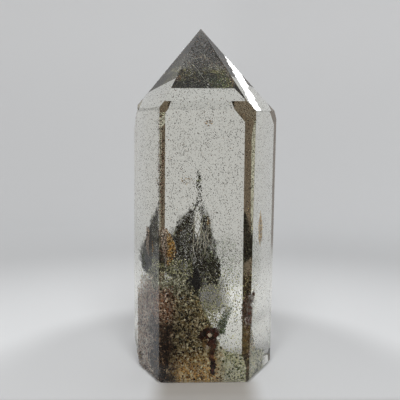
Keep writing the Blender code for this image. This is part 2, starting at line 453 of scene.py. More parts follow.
def is_kept(g, asked, seed):
    """1 for a point inside the form that the patches, the thinning and the opening leave."""
    here = g.add("GeometryNodeInputPosition")
    faces = {"target_element": "FACES"}
    depth = g.add("GeometryNodeProximity", faces, {0: asked("form")}, "Distance")
    inside = is_inside(g, asked("form")) * (depth > asked("skin")) * (depth < asked("reach"))

    # Patches, which may be stretched upwards
    pulled = g.add("ShaderNodeCombineXYZ", None, {0: 1.0, 1: 1.0, 2: 1.0 / asked("stretch")})
    patchy = g.grain(here * pulled, asked("patch"))
    kept = patchy + random_value(g, seed + 1) * CHANCE - CHANCE / 2 > asked("bareness")

    # A thinning along a line
    along = asked("thin_end") - asked("thin_start")
    share = (here - asked("thin_start")).dot(along) / (along.dot(along) + 1e-9)
    kept = kept * (random_value(g, seed + 2) > share.steps(0.0, 1.0) * asked("thinning"))

    # An opening with no grains in it, or else the only place that has any
    away = ((here - asked("open_centre")) / asked("open_size")).length()
    outside = away + (patchy - 0.5) * RAGGED > 1.0
    only = asked("only_there")
    return inside * kept * (only + outside - 2.0 * only * outside)


def grains_on(g, asked, seed, points):
    """A squashed, turned grain on each point, with its tint and its finish."""
    size = random_value(g, seed + 3) ** FEW_LARGE
    size = asked("smallest") + size * (asked("largest") - asked("smallest"))
    sides = {0: size, 1: size * GRAIN_WIDTH, 2: size * asked("flatness")}
    scale = g.add("ShaderNodeCombineXYZ", None, sides)
    turn = random_value(g, seed + 4, (0.0, 0.0, 0.0), FULL_TURN, "FLOAT_VECTOR")
    grain = g.add("GeometryNodeMeshUVSphere", None, {"Segments": 3, "Rings": 2, "Radius": 1.0})
    placed = g.add(
        "GeometryNodeInstanceOnPoints", None,
        {"Points": points, "Instance": grain, "Rotation": turn, "Scale": scale},
    )
    tinted = g.add(
        "GeometryNodeStoreNamedAttribute", {"data_type": "FLOAT", "domain": "INSTANCE"},
        {"Geometry": placed, "Name": "tint", "Value": random_value(g, seed + 5)},
    )
    real = g.add("GeometryNodeRealizeInstances", None, {0: tinted})
    return g.add("GeometryNodeSetMaterial", None, {"Geometry": real, "Material": asked("finish")})


def grain_tree():
    tree = bpy.data.node_groups.new("grains_in_a_form", "GeometryNodeTree")
    tree.interface.new_socket(name="form", in_out="INPUT", socket_type="NodeSocketGeometry")
    for name, (kind, _, _) in GRAIN_INPUTS.items():
        tree.interface.new_socket(name=name, in_out="INPUT", socket_type="NodeSocket" + kind)
    tree.interface.new_socket(name="grains", in_out="OUTPUT", socket_type="NodeSocketGeometry")
    g = Graph(tree)
    given = tree.nodes.new("NodeGroupInput")

    def asked(name):
        return Wire(g, given.outputs[name])

    # Points at random in the form's box, less those that aren't kept
    seed = asked("seed")
    corner = g.add("GeometryNodeBoundBox", None, {0: asked("form")}, "Min")
    anywhere = random_value(g, seed, corner, corner.sibling("Max"), "FLOAT_VECTOR")
    points = g.add("GeometryNodePoints", None, {"Count": asked("count"), "Position": anywhere})
    removed = 1.0 - is_kept(g, asked, seed)
    left = g.add("GeometryNodeDeleteGeometry", None, {"Geometry": points, "Selection": removed})
    out = tree.nodes.new("NodeGroupOutput")
    g.feed(out.inputs[0], grains_on(g, asked, seed, left))
    return tree


grains_in_a_form = grain_tree()
print("the grain tree has", len(grains_in_a_form.nodes), "nodes")

# %% [markdown]
# A tree only becomes a plain mesh when it is run on a form. `grow` puts the tree on a helper that
# holds the form, sets each input by its socket's identifier, takes the finished mesh, and removes
# the helper. Grains that would stick out at the foot are flattened, as the lap ground them.

# %% Run the tree on a form
GROUND_SKIN = 0.03 * MM


def final_mesh(helper):
    """The mesh of a helper with its modifiers worked out. The helper is removed."""
    graph = bpy.context.evaluated_depsgraph_get()
    mesh = bpy.data.meshes.new_from_object(helper.evaluated_get(graph))
    bpy.data.objects.remove(helper)
    return mesh


def grow(name, form, finish, count, sizes_mm, **more):
    """Fills a form with grains. Sizes and lengths are in millimetres."""
    smallest, largest = sizes_mm
    wanted = {"finish": finish, "count": count, "smallest": smallest, "largest": largest, **more}
    helper = linked(name + "_form", form)
    modifier = helper.modifiers.new("grow", "NODES")
    modifier.node_group = grains_in_a_form
    for item in grains_in_a_form.interface.items_tree:
        if item.name not in GRAIN_INPUTS:
            continue
        kind, unit, standard = GRAIN_INPUTS[item.name]
        value = wanted.get(item.name, standard)
        if unit == MM:
            value = Vector(value) * MM if kind == "Vector" else value * MM
        modifier[item.identifier] = value
    mesh = final_mesh(helper)
    mesh.name = name
    for vert in mesh.vertices:
        vert.co.z = max(vert.co.z, GROUND_SKIN)
    print(f"{name}: {len(mesh.polygons)} faces")
    return linked(name, mesh)


def form_of(node):
    """A plain mesh of a frame solid, its loose triangles joined."""
    return mesh_of(node + "_form", merged_copy(node))


print("forms:", {name: len(form_of(name).vertices) for name in nodes if name != "quartz_point"})

# %% [markdown]
# ## The minerals' finishes
#
# Chlorite is a felt of dark green flakes, almost black in the clumps and grey-green where the
# flakes thin out. Each grain's tint picks its place on a colour ramp, and a wide noise shifts
# whole patches lighter or darker, as moss has lighter and darker cushions.

# %% Chlorite
def grain_finish(name, *stops, patch_mm=3.0, patch_weight=0.5, roughness=0.75):
    """A grainy mineral: a ramp from its darkest to its lightest grain, shifted by patches."""
    material, g, shader = finish_named(name)
    place = g.place_mm()
    tint = g.attribute("tint")
    patch = g.grain(place, patch_mm).steps(0.3, 0.7)
    plug(
        g, shader,
        Base_Color=g.ramp(stops, tint * (1 - patch_weight) + patch * patch_weight),
        Roughness=roughness - 0.15 * tint,
        Specular_IOR_Level=0.3,
        Normal=g.bump(g.grain(place, 0.12), 0.5, 0.05),
    )
    return material


chlorite = grain_finish(
    "green_chlorite",
    (0.0, 0.007, 0.01, 0.005), (0.5, 0.022, 0.027, 0.014),
    (0.7, 0.12, 0.135, 0.075), (1.0, 0.7, 0.74, 0.54),
)
clump_finish = grain_finish(
    "dark_clump",
    (0.0, 0.004, 0.007, 0.011), (0.8, 0.015, 0.023, 0.03), (1.0, 0.09, 0.11, 0.12),
)
drift_green = grain_finish(
    "drift_green",
    (0.0, 0.03, 0.06, 0.015), (0.5, 0.1, 0.18, 0.05), (1.0, 0.42, 0.52, 0.24),
)
print("chlorite finishes:", chlorite.name, clump_finish.name, drift_green.name)


def veil_finish(name, dark, light, cover, patch_mm, fade_mm, foot_mm, stretch=1.0, gap=None):
    """A haze: fine specks of a mineral in clear quartz, denser in patches, fading up and down."""
    material, g, shader = finish_named(name)
    place = g.place_mm()
    height = g.part(place, "Z")
    cover = height.steps(*fade_mm, cover, 0.0) * height.steps(*foot_mm)
    if gap:
        centre, size = gap
        cover = cover * ((place - centre) / size).length().steps(0.7, 1.2)
    patch = g.grain(place * (1.0, 1.0, 1.0 / stretch), patch_mm).steps(0.35, 0.65)
    specks = g.grain(place, 0.3, 1.0)
    plug(
        g, shader,
        Base_Color=g.mix(specks.steps(0.4, 0.6), dark, light),
        Roughness=0.9,
        Specular_IOR_Level=0.1,
        Alpha=cover * (0.35 + 0.65 * patch) * specks.steps(0.35, 0.6, 0.5, 1.5),
    )
    return material


CLEFT_CENTRE = (-1.9, 0.0, 36.4)
CLEFT_SIZE = (1.0, 30.0, 4.4)
mountain_haze = veil_finish(
    "mountain_haze", (0.045, 0.05, 0.033), (0.15, 0.16, 0.11), cover=0.17, patch_mm=0.8,
    fade_mm=(34, 42), foot_mm=(18, 23), stretch=4.0, gap=(CLEFT_CENTRE, CLEFT_SIZE),
)
drift_haze = veil_finish(
    "drift_haze", (0.05, 0.09, 0.025), (0.16, 0.24, 0.08), cover=0.16, patch_mm=1.5,
    fade_mm=(12, 18), foot_mm=(8, 11),
)

# %% [markdown]
# Limonite is rust: ochre and orange, with brown crumbs. The iron oxide is nearly black with a red
# cast and a half-metallic gleam on its crystal faces. The dust that hangs all through the quartz
# is fine chlorite and iron, so it is dark grey with a few rusty specks.

# %% Iron minerals
limonite = grain_finish(
    "orange_limonite",
    (0.0, 0.03, 0.022, 0.014), (0.35, 0.17, 0.11, 0.05), (0.6, 0.5, 0.3, 0.1),
    (0.85, 0.78, 0.56, 0.26), (1.0, 0.9, 0.82, 0.62),
    patch_mm=0.8,
)
dust_finish = grain_finish(
    "dust",
    (0.0, 0.012, 0.012, 0.01), (0.6, 0.05, 0.048, 0.04),
    (0.85, 0.16, 0.1, 0.06), (1.0, 0.3, 0.15, 0.08),
    patch_weight=0.15,
)
edge_finish = grain_finish(
    "rusty_edge",
    (0.0, 0.02, 0.01, 0.008), (0.55, 0.09, 0.035, 0.022),
    (0.75, 0.35, 0.2, 0.14), (1.0, 0.85, 0.72, 0.62),
    patch_weight=0.2,
)
spark_finish = grain_finish(
    "pale_sparks", (0.0, 0.2, 0.2, 0.19), (0.5, 0.5, 0.5, 0.47), (1.0, 0.95, 0.95, 0.9)
)
yellow = grain_finish("yellow_ochre", (0.0, 0.6, 0.36, 0.06), (1.0, 1.0, 0.74, 0.25))
cream = grain_finish("cream_spot", (0.0, 0.75, 0.6, 0.42), (1.0, 1.0, 0.95, 0.82))


def stain_finish():
    """Golden at the middle, pinkish grey towards the left wall, with dark and white grains."""
    material, g, shader = finish_named("golden_stain")
    place = g.place_mm()
    tint = g.attribute("tint")
    left = g.part(place, "X") + (g.grain(place, 1.2) - 0.5) * 1.6
    gold = (
        (0.0, 0.02, 0.012, 0.006), (0.3, 0.3, 0.14, 0.035),
        (0.55, 0.9, 0.52, 0.12), (1.0, 1.0, 0.92, 0.66),
    )
    pinkish = (
        (0.0, 0.015, 0.013, 0.01), (0.3, 0.2, 0.12, 0.08),
        (0.48, 0.85, 0.66, 0.55), (1.0, 1.0, 0.97, 0.94),
    )
    colour = g.mix(left.steps(-9.6, -9.0), g.ramp(pinkish, tint), g.ramp(gold, tint))
    plug(g, shader, Base_Color=colour, Roughness=0.8, Specular_IOR_Level=0.25)
    return material


golden_stain = stain_finish()


def iron_oxide_finish():
    """Dark red and half-metallic, but brown and duller low down."""
    material, g, shader = finish_named("iron_oxide")
    place = g.place_mm()
    patch = g.grain(place, 0.9).steps(0.35, 0.7)
    height = g.part(place, "Z")
    low_down = height.steps(9.0, 7.0) * height.steps(3.5, 5.0)
    red = g.mix(patch, (0.01, 0.004, 0.004), (0.16, 0.03, 0.018))
    brown = g.mix(patch, (0.06, 0.022, 0.01), (0.34, 0.14, 0.06))
    plug(
        g, shader,
        Base_Color=g.mix(low_down, red, brown),
        Metallic=0.35 - 0.35 * low_down,
        Roughness=0.25 + 0.45 * low_down,
        Normal=g.bump(g.grain(place, 0.3), 0.4, 0.1),
    )
    return material


iron_oxide = iron_oxide_finish()
print("iron finishes:", limonite.name, iron_oxide.name, dust_finish.name)

# %% [markdown]
# The bed isn't one colour. It is deep brown against the left wall, tan and orange low in the
# middle, dark green above that, olive and white where it meets the mountain, pale where it runs
# out to the right, and rusty and rosy at the left. So its finish mixes seven ramps by place. The
# masks have soft, ragged edges, because a noise is added to the place before it is compared.

# %% The bed's finish
def bed_finish():
    material, g, shader = finish_named("iron_stained_bed")
    place = g.place_mm()
    tint = g.attribute("tint")
    ragged = (g.grain(place, 2.5) - 0.5) * 7.0
    across = g.part(place, "X") + ragged
    upward = g.part(place, "Z") + ragged

    def shades(*stops):
        return g.ramp(stops, tint)

    brown = shades(
        (0.0, 0.005, 0.003, 0.002), (0.62, 0.026, 0.013, 0.008),
        (0.85, 0.16, 0.085, 0.045), (1.0, 0.5, 0.33, 0.2),
    )
    tan = shades(
        (0.0, 0.05, 0.02, 0.008), (0.22, 0.46, 0.22, 0.06),
        (0.42, 1.0, 0.66, 0.22), (1.0, 1.0, 0.97, 0.7),
    )
    green = shades(
        (0.0, 0.006, 0.005, 0.003), (0.35, 0.05, 0.036, 0.016),
        (0.58, 0.42, 0.31, 0.13), (1.0, 1.0, 0.94, 0.66),
    )
    olive = shades(
        (0.0, 0.02, 0.022, 0.012), (0.35, 0.14, 0.145, 0.08),
        (0.6, 0.6, 0.6, 0.42), (1.0, 1.0, 1.0, 0.86),
    )
    pale = shades(
        (0.0, 0.015, 0.03, 0.008), (0.16, 0.16, 0.2, 0.07),
        (0.32, 0.95, 0.93, 0.66), (1.0, 1.0, 1.0, 0.92),
    )
    rosy = shades(
        (0.0, 0.1, 0.055, 0.04), (0.25, 0.55, 0.38, 0.29),
        (0.5, 0.95, 0.8, 0.66), (1.0, 1.0, 0.97, 0.9),
    )
    rust = shades(
        (0.0, 0.02, 0.01, 0.007), (0.35, 0.14, 0.055, 0.03),
        (0.6, 0.55, 0.28, 0.15), (1.0, 1.0, 0.86, 0.7),
    )
    colour = g.mix(upward.steps(3.5, 8.0), tan, green)
    colour = g.mix(upward.steps(19.0, 22.5), colour, olive)
    colour = g.mix(across.steps(1.5, 5.0), colour, pale)
    at_left = across.steps(-6.0, -9.0)
    colour = g.mix(at_left * upward.steps(17.0, 12.5), colour, brown)
    colour = g.mix(at_left * upward.steps(13.0, 15.5) * upward.steps(23.0, 20.0), colour, rust)
    colour = g.mix(across.steps(-10.5, -13.0), colour, rosy)
    skin = g.bump(g.grain(place, 0.15), 0.5, 0.06)
    plug(g, shader, Base_Color=colour, Roughness=0.85, Specular_IOR_Level=0.25, Normal=skin)
    return material


bed_material = bed_finish()
mist_finish = grain_finish(
    "pale_mist",
    (0.0, 0.02, 0.022, 0.01), (0.3, 0.21, 0.22, 0.08),
    (0.5, 0.82, 0.81, 0.46), (1.0, 1.0, 1.0, 0.8),
    patch_weight=0.3,
)
print("bed finish:", bed_material.name)

# %% [markdown]
# ## The mountain
#
# The mountain is a phantom: a surface on which chlorite settled while the crystal paused, later
# grown over by clear quartz. It isn't solid, so a closed shell would look like painted clay. It
# is a crowd of dark flakes, with a haze between them.
#
# Between its grains a mineral is a haze, too fine to be modelled grain by grain. A haze is made of
# veils: thin shells, one inside the other, each a shrunken copy of the form. Their material is
# mostly holes, so several of them in a row look like soft depth.
#
# The mountain's skin also has upright folds, like a curtain, which the grains and the veils share.

# %% Folded form
CRUMB_RATE = 1.3
CRUMB_SHARE = 0.3
UPRIGHT = 0.4


def folded_form(node, cuts, folds_mm, tall, depth_mm):
    """A copy of a solid whose skin is drawn in by upright folds. It stays inside the solid."""
    bm = merged_copy(node)
    bmesh.ops.triangulate(bm, faces=bm.faces)
    bmesh.ops.subdivide_edges(bm, edges=bm.edges, cuts=cuts, use_grid_fill=True)
    bm.normal_update()
    for vert in bm.verts:
        place = vert.co / MM
        fold = noise.noise(Vector((place.x / folds_mm, place.y / folds_mm, place.z / tall)))
        crumb = noise.noise(place * CRUMB_RATE)
        draw = abs(fold) * depth_mm + (0.5 + 0.5 * crumb) * CRUMB_SHARE * depth_mm
        inward = Vector((vert.normal.x, vert.normal.y, vert.normal.z * UPRIGHT))
        vert.co -= inward * draw * MM
    return mesh_of(node + "_folded", bm)


def cut_level(bm, height_mm, keep_above=False):
    """Cuts a form at a height, keeps the part below or above it, and closes it."""
    everything = bm.verts[:] + bm.edges[:] + bm.faces[:]
    cut = bmesh.ops.bisect_plane(
        bm, geom=everything, plane_co=(0, 0, height_mm * MM), plane_no=(0, 0, 1),
        clear_outer=not keep_above, clear_inner=keep_above,
    )
    rim = [e for e in cut["geom_cut"] if isinstance(e, bmesh.types.BMEdge)]
    bmesh.ops.holes_fill(bm, edges=rim)


def veils_of(name, form, finish, depths_mm, top_mm=100):
    """Shells inside a form, one at each depth below its skin, up to a height."""
    out = bmesh.new()
    for depth in depths_mm:
        bm = bmesh_of(form)
        cut_level(bm, top_mm)
        bm.normal_update()
        for vert in bm.verts:
            vert.co -= vert.normal * depth * MM
            vert.co.z = max(vert.co.z, GROUND_SKIN)
        shell = mesh_of("shell", bm)
        out.from_mesh(shell)
        bpy.data.meshes.remove(shell)
    made = to_object(name, out, finish)
    print(f"{name}: {len(made.data.polygons)} faces in {len(depths_mm)} shells")
    return made


# %% [markdown]
# The mountain has two peaks with a light cleft between them, so the grains leave the cleft open.

# %% Mountain
mountain_form = folded_form("chlorite_mountain", 2, 1.5, 9.0, 1.7)
mountain = grow(
    "mountain_flakes", mountain_form, chlorite, 100000, (0.15, 0.42), seed=11,
    flatness=0.5, patch=0.8, stretch=3.0, bareness=0.455, thin_start=(0, 0, 37),
    thin_end=(0, 0, 49), thinning=0.92, open_centre=CLEFT_CENTRE, open_size=CLEFT_SIZE,
)
mountain_veil = veils_of("mountain_veil", mountain_form, mountain_haze, (0.1, 0.7, 1.4), 42)

# %% [markdown]
# ## The bed, the drift and the stain
#
# The bed fills its form densely, with coarser crumbs inside and a fine powder near its faces. The
# drift thins out towards its tip, like smoke. The orange stain is small and dense.

# %% Bed, drift and stain
BED_OPENING = {"open_centre": (-12.5, 5.5, 25), "open_size": (7, 7.5, 8.5)}
bed_form = form_of("iron_stained_bed")
bed_crumbs = grow(
    "bed_crumbs", bed_form, bed_material, 44000, (0.24, 0.62), seed=51,
    flatness=0.6, patch=2.0, bareness=0.39, thin_start=(-3, 0, 9), thin_end=(3, 0, 22),
    thinning=0.9, **BED_OPENING,
)
bed_powder = grow(
    "bed_powder", bed_form, bed_material, 64000, (0.16, 0.48), seed=71,
    flatness=0.7, reach=1.8, patch=1.4, bareness=0.42, thin_start=(-3, 0, 10), thin_end=(4, 0, 22),
    thinning=0.85, **BED_OPENING,
)
drift = grow(
    "green_drift", form_of("chlorite_drift"), drift_green, 24000, (0.08, 0.24), seed=91,
    flatness=0.5, patch=1.2, bareness=0.4, thin_start=(4, -3, 11), thin_end=(8, -2, 18),
    thinning=0.95, open_centre=(2.6, -3, 5.5), open_size=(4, 6, 4.5),
)
drift_veil = veils_of("drift_veil", form_of("chlorite_drift"), drift_haze, (0.2, 0.5, 0.9))
stain = grow(
    "orange_stain", form_of("limonite_patch"), golden_stain, 5200, (0.16, 0.42), seed=111,
    flatness=0.6, patch=0.8, bareness=0.42,
)

# %% [markdown]
# ## Mist and small clouds
#
# Between the bed and the mountain hangs a mist of loose grains. There are small clouds of others:
# blue-black clumps, the mountain's ragged fringe and dotted spire, orange wisps, a yellow streak,
# cream spots and rusty edges. None is a body of its own. Each is a lumpy ball of clear quartz with
# grains in it, so one function makes them all, and clouds of one finish are joined into one piece.

# %% Clouds
BALL_LUMPS = 1.7
BALL_ROUGHNESS = 0.35


def lumpy_ball(centre_mm, half_mm, seed):
    """A form for a cloud: a ball of the given half sizes, with lumps."""
    bm = bmesh.new()
    bmesh.ops.create_icosphere(bm, subdivisions=3, radius=1)
    for vert in bm.verts:
        lump = noise.noise(vert.co * BALL_LUMPS + Vector((seed, 0, 0)))
        spread = vert.co * (1.0 + BALL_ROUGHNESS * lump)
        vert.co = Vector([c + s * h for c, s, h in zip(centre_mm, spread, half_mm)]) * MM
    return mesh_of("ball", bm)


def clouds(name, finish, *balls, sizes_mm, seed, **more):
    """Grains in several balls. A ball is its centre, its half sizes and its number of points."""
    out = bmesh.new()
    for number, (centre, half, count) in enumerate(balls):
        form = lumpy_ball(centre, half, seed + number)
        own = {"seed": seed + 10 * number, **more}
        cloud = grow(f"{name}_{number}", form, finish, count, sizes_mm, **own)
        out.from_mesh(cloud.data)
        bpy.data.objects.remove(cloud)
    return to_object(name, out, finish)


mist = clouds(
    "garden_mist", mist_finish,
    ((-7, -2, 24), (5.5, 5.5, 4.5), 2600),
    ((-13, -1.5, 23), (1.8, 3, 6), 600),
    ((2, -4.5, 18.5), (4.6, 4.5, 6.5), 2100),
    ((0.9, -5, 14.6), (2.6, 3, 3.6), 2000),
    ((6.5, -3.5, 19), (3.4, 4, 7.5), 900),
    ((6, -5, 6.5), (3.2, 5, 5), 300),
    sizes_mm=(0.12, 0.3), seed=200, patch=1.2, bareness=0.34,
)
smoke = clouds(
    "green_smoke", drift_green,
    ((4.8, 1.5, 26.5), (4.4, 2.8, 7), 7500),
    ((1.5, 1, 22), (3, 2.6, 3), 1800),
    sizes_mm=(0.07, 0.15), seed=230, patch=2, bareness=0.44,
)
clumps = clouds(
    "dark_clumps", clump_finish,
    ((-2.2, -3, 23.4), (1, 1.1, 2.7), 2600),
    ((-2.9, -3, 22.2), (1.7, 1.5, 2.3), 900),
    ((-13.1, -6.5, 4.6), (0.22, 0.25, 0.9), 200),
    sizes_mm=(0.14, 0.32), seed=300, patch=0.8, bareness=0.36,
)
fringe = clouds(
    "chlorite_fringe", chlorite,
    ((-12.2, -7, 31.2), (0.7, 0.8, 5.4), 2400),
    ((1.8, -1, 25.2), (2.3, 1.5, 3.6), 2600),
    ((-13.4, -4, 27.3), (2, 1.8, 2.6), 2600),
    ((-1.6, 3, 45.5), (0.7, 0.5, 4.8), 300),
    sizes_mm=(0.14, 0.44), seed=330, patch=0.8, bareness=0.36,
)
orange_wisps = clouds(
    "orange_wisps", limonite,
    ((-4.4, 0, 47.2), (1.5, 0.3, 1.1), 150),
    ((0.9, -4.2, 37.6), (0.5, 0.4, 1), 120),
    ((0.9, 0, 61.5), (1.1, 0.3, 0.8), 90),
    ((-4.4, -9, 8.5), (3, 1.5, 3.5), 420),
    ((-0.1, -9.8, 8.8), (0.7, 0.5, 1.6), 420),
    ((-1, -9.8, 6.6), (0.7, 0.4, 0.6), 120),
    sizes_mm=(0.1, 0.26), seed=400, patch=0.8, bareness=0.38,
)
yellow_streak = clouds(
    "yellow_streak", yellow,
    ((12.4, -6.9, 35.8), (1.1, 0.8, 3.8), 2400),
    sizes_mm=(0.1, 0.26), seed=470, patch=0.8, bareness=0.38,
)
cluster_spots = clouds(
    "cluster_spots", cream,
    ((1.1, -9.6, 10.9), (0.55, 0.2, 0.45), 260),
    ((0.6, -9.6, 9.7), (0.25, 0.2, 0.3), 60),
    ((0.4, -9.9, 8), (0.4, 0.2, 0.55), 90),
    sizes_mm=(0.1, 0.24), seed=500, patch=1, bareness=0.2,
)
edge_specks = clouds(
    "edge_specks", edge_finish,
    ((-10.1, -11.8, 47), (0.6, 0.3, 20), 1500),
    ((9.9, -11.6, 14), (0.6, 0.3, 14), 700),
    ((9.6, -11, 16.4), (1.2, 0.7, 4), 2600),
    sizes_mm=(0.1, 0.28), seed=600, patch=1, bareness=0.44,
)

# %% [markdown]
# The cluster and the dark clump sit in the front of the bed, and nothing hides them there. So the
# grains of the bed between them and the front face are taken out. Whether a grain is in the way is
# found by a ray along the line of sight in the quartz, straight in and a little downwards.

# %% Clear the view of the cluster and the clump
SIGHT_REACH = 9.0 * MM
GRAIN_VERTS = 5


def tree_of(mesh):
    """A search tree of a mesh's faces."""
    bm = bmesh_of(mesh)
    tree = BVHTree.FromBMesh(bm)
    bm.free()
    return tree


def clear_in_front(piece, tree, sight):
    """Deletes a piece's grains from which a target lies straight ahead in the line of sight."""
    bm = bmesh_of(piece.data)
    bm.verts.ensure_lookup_table()
    doomed = []
    for first in range(0, len(bm.verts), GRAIN_VERTS):
        grain = bm.verts[first:first + GRAIN_VERTS]
        if tree.ray_cast(grain[0].co, sight, SIGHT_REACH)[0] is not None:
            doomed.extend(grain)
    bmesh.ops.delete(bm, geom=doomed, context="VERTS")
    bm.to_mesh(piece.data)
    bm.free()
    return len(doomed) // GRAIN_VERTS


TARGETS = (
    (tree_of(form_of("iron_oxide_cluster")), Vector((0.02, 1.0, -0.2))),
    (tree_of(clumps.data), Vector((0.0, 1.0, -0.14))),
)
for piece in (bed_crumbs, bed_powder, mist, smoke):
    cleared = [clear_in_front(piece, tree, sight) for tree, sight in TARGETS]
    print(piece.name, "grains cleared:", cleared)

# %% [markdown]
# ## Threads
#
# Pale threads of healed quartz run down the mountain between its dark grains, and a few cross the
# tip. Each thread is a curve laid on the skin of a form: for every height a ray finds the skin,
# and the thread lies just in front of it or just behind it.

# %% Threads
PATH_POINTS = 15
WANDER_RATE = 0.35
BEFORE_ALL = -30.0


def laid_path(tree, start_mm, end_mm, lift_mm, wander_mm, seed):
    """Points from start to end, given as (x, z), laid on a skin seen from the front."""
    points = []
    for i in range(PATH_POINTS):
        t = i / (PATH_POINTS - 1)
        x, z = (a + (b - a) * t for a, b in zip(start_mm, end_mm))
        x += wander_mm * noise.noise(Vector((seed, z * WANDER_RATE, 0.0)))
        hit = tree.ray_cast(Vector((x, BEFORE_ALL, z)) * MM, Vector((0.0, 1.0, 0.0)))[0]
        if hit is not None:
            points.append(hit + Vector((0.0, -lift_mm * MM, 0.0)))
    return points


def threads(name, paths, radius_mm, finish):
    """Thin curves along the paths, thickest at their middles, as one piece."""
    curve = bpy.data.curves.new(name, "CURVE")
    curve.dimensions = "3D"
    curve.bevel_depth = radius_mm * MM
    curve.bevel_resolution = 1
    curve.use_fill_caps = True
    for path in paths:
        if len(path) < 3:
            continue
        spline = curve.splines.new("POLY")
        spline.points.add(len(path) - 1)
        for i, (point, place) in enumerate(zip(spline.points, path)):
            point.co = (*place, 1.0)
            point.radius = 0.4 + 0.6 * math.sin(math.pi * i / (len(path) - 1))
    bm = bmesh_of(final_mesh(linked(name, curve)))
    bmesh.ops.recalc_face_normals(bm, faces=bm.faces)
    return to_object(name, bm, finish)


thread_finish = grain_finish(
    "pale_thread", (0.0, 0.5, 0.49, 0.42), (1.0, 0.86, 0.85, 0.78), patch_mm=1.0, roughness=0.6
)
THREAD_COUNT = 8
THREAD_LIFT = 0.3
THREAD_WANDER = 1.5
on_mountain = tree_of(mountain_form)
thread_paths = [
    laid_path(on_mountain, (-2.6 + 0.5 * i, 39.5 - 1.3 * (i % 3)), (-3.2 + 0.7 * i, 27.0 + (i % 3)),
              THREAD_LIFT, THREAD_WANDER, 3.0 * i)
    for i in range(THREAD_COUNT)
]
mountain_threads = threads("mountain_threads", thread_paths, 0.14, thread_finish)
print("thread faces:", len(mountain_threads.data.polygons))

# %% [markdown]
# ## The iron-oxide cluster
#
# The cluster's blocks are already right in the frame. They get a finer skin: each face is cut
# into smaller ones and moved by a rough noise, so that the blocks look grown and not sawn.

# %% Iron-oxide cluster
CLUSTER_CELL = 0.16
CLUSTER_ROUGHNESS = 0.16
LUMP_RATE = 1500
GRIT_RATE = 4200


def cluster_piece():
    helper = linked("cluster_form", form_of("iron_oxide_cluster"))
    remesh = helper.modifiers.new("cells", "REMESH")
    remesh.mode = "VOXEL"
    remesh.voxel_size = CLUSTER_CELL * MM
    bm = bmesh_of(final_mesh(helper))
    bm.normal_update()
    for vert in bm.verts:
        lump = noise.noise(vert.co * LUMP_RATE) + 0.5 * noise.noise(vert.co * GRIT_RATE)
        vert.co += vert.normal * (lump + 0.5) * CLUSTER_ROUGHNESS * MM
    return to_object("iron_oxide_blocks", bm, iron_oxide)


cluster = cluster_piece()
print("cluster points:", len(cluster.data.vertices))

# %% [markdown]
# ## Dust
#
# Fine dark specks hang everywhere in the quartz, and they are most of what makes it look grown
# and not cast. They fill the crystal's own form, a little under its skin.

# %% Dust
dust = grow(
    "dust", crystal.data, dust_finish, 36000, (0.07, 0.21), seed=131,
    flatness=0.6, skin=0.3, patch=5.0, bareness=0.43,
)

# %% [markdown]
# The point has more of it: dark specks near its back faces, and pale ones, with a few threads,
# close behind its front face, where they catch the light. The dark specks are partly real dust and
# partly painted shade: they are packed densely to darken the point.

# %% Specks of the point
TIP_FOOT = 64.0


def tip_form():
    """The crystal's own form above its shoulders."""
    bm = bmesh_of(crystal.data)
    cut_level(bm, TIP_FOOT, keep_above=True)
    return mesh_of("tip", bm)


tip = tip_form()
# Dark specks of the point: partly real dust, partly painted shade that darkens it
tip_dust_and_shade = grow(
    "tip_dust_and_shade", tip, dust_finish, 200000, (0.12, 0.32), seed=151,
    flatness=0.5, skin=0.12, reach=1.8, patch=1.2, bareness=0.4,
    open_centre=(-0.5, 4.5, 76.5), open_size=(7.5, 5.5, 8.5), only_there=1.0,
)
tip_sparks = grow(
    "tip_sparks", tip, spark_finish, 100000, (0.09, 0.26), seed=171,
    flatness=0.4, skin=0.12, reach=1.3, patch=1.0, bareness=0.45,
    open_centre=(-0.5, -7.5, 74.0), open_size=(7.5, 6.0, 8.0), only_there=1.0,
)
TIP_THREADS = (
    ((-3.7, 75.5), (-1.8, 73.6)),
    ((-2.5, 74.1), (0.15, 70.4)),
    ((-1.0, 78.2), (0.9, 76.0)),
    ((2.0, 74.3), (4.0, 72.9)),
)
on_tip = tree_of(tip)
tip_paths = [laid_path(on_tip, *ends, -0.3, 0.5, i) for i, ends in enumerate(TIP_THREADS)]
tip_threads = threads("tip_threads", tip_paths, 0.05, thread_finish)

# %% [markdown]
# ## What rides on what
#
# Nothing moves in this object, so every piece rides on its one body. Each piece in the first
# list stands for a solid and fills its form. The others are added, and are listed by slot.

# %% Ride and replace; the slots are only listed
REPLACED = (
    (crystal, "quartz_point", "clear_quartz"),
    (mountain, "chlorite_mountain", "green_chlorite"),
    (drift, "chlorite_drift", "green_chlorite"),
    (bed_crumbs, "iron_stained_bed", "iron_stained_bed"),
    (stain, "limonite_patch", "orange_limonite"),
    (cluster, "iron_oxide_cluster", "iron_oxide"),
)
ADDED = {
    "green_chlorite": (
        mountain_veil, drift_veil, dust, tip_dust_and_shade, clumps, smoke, fringe, mountain_threads,
        tip_sparks, tip_threads,
    ),
    "iron_stained_bed": (bed_powder, mist),
    "orange_limonite": (edge_specks, cluster_spots, orange_wisps, yellow_streak),
}
for piece, node, slot in REPLACED:
    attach(piece, "root")
    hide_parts(node)
for slot, pieces in ADDED.items():
    for piece in pieces:
        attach(piece, "root")
print("pieces:", len(REPLACED) + sum(map(len, ADDED.values())))

# %% [markdown]
# ## The studio
#
# A clear object has no look of its own: each facet shows a piece of the room. The room here is a
# pale round sweep, a floor that curves up into a wall. The sweep glows though it is no lamp: its
# glow is painted light, in pools round and right behind the crystal and more up the wall. Behind
# the crystal it is light, so the crystal's windows are light. On the camera's side its colour and
# glow are painted dim and warm, and that is what the narrow bands at the edges of the front window
# show, by total reflection in the back faces. Painted shade darkens the floor under the crystal and
# behind it, and a painted warm shadow lies before its base.

